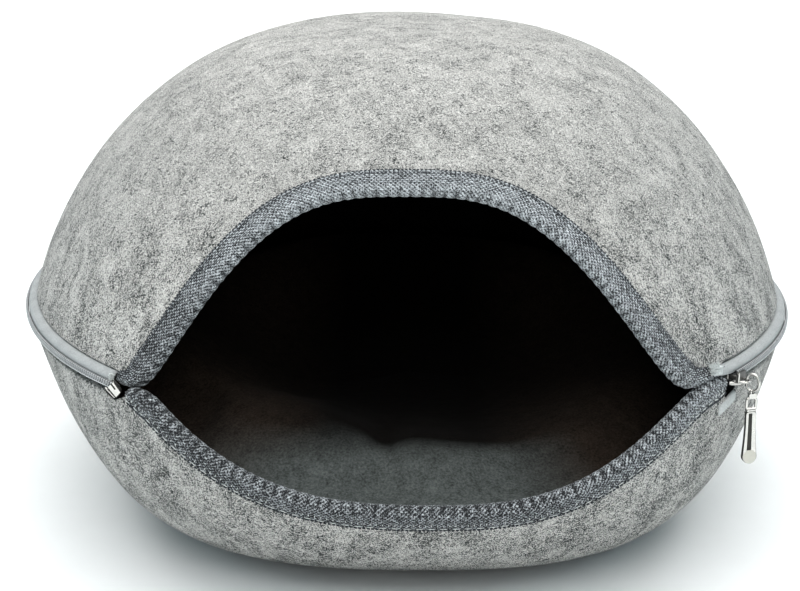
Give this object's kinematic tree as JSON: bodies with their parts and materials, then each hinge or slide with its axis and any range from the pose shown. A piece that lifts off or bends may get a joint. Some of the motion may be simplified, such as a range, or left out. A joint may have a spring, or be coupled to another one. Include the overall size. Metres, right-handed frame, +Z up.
{
  "type": "felt pet cave bed",
  "caption": "Oval felt cave bed for a small pet, a zipped-together dome and bowl with a webbing-bound mouth and a loose plush cushion inside.",
  "frame": {"origin": "on the flat base at floor level, under the middle of the zip's ring", "axes": "+Z up, +Y from the mouth to the back, +X to the right when looking into the mouth"},
  "size_m": [0.4, 0.4366, 0.24],
  "materials": {
    "felt": "matte light grey heather felt",
    "webbing": "matte woven blue-grey webbing",
    "tape": "fine woven light grey tape",
    "chain": "matte grey coil",
    "nickel": "polished nickel plate",
    "plush": "short dark grey pile"
  },
  "bodies": {
    "root": {"top_shell": "felt", "bottom_shell": "felt", "mouth_binding_upper": "webbing", "mouth_binding_lower": "webbing", "zip_tape_upper": "tape", "zip_tape_lower": "tape", "zip_chain": "chain", "zip_stop": "nickel", "zip_slider": "nickel", "zip_ring": "nickel", "zip_link": "nickel", "zip_pull": "nickel", "cushion": "plush"}
  },
  "joints": []
}
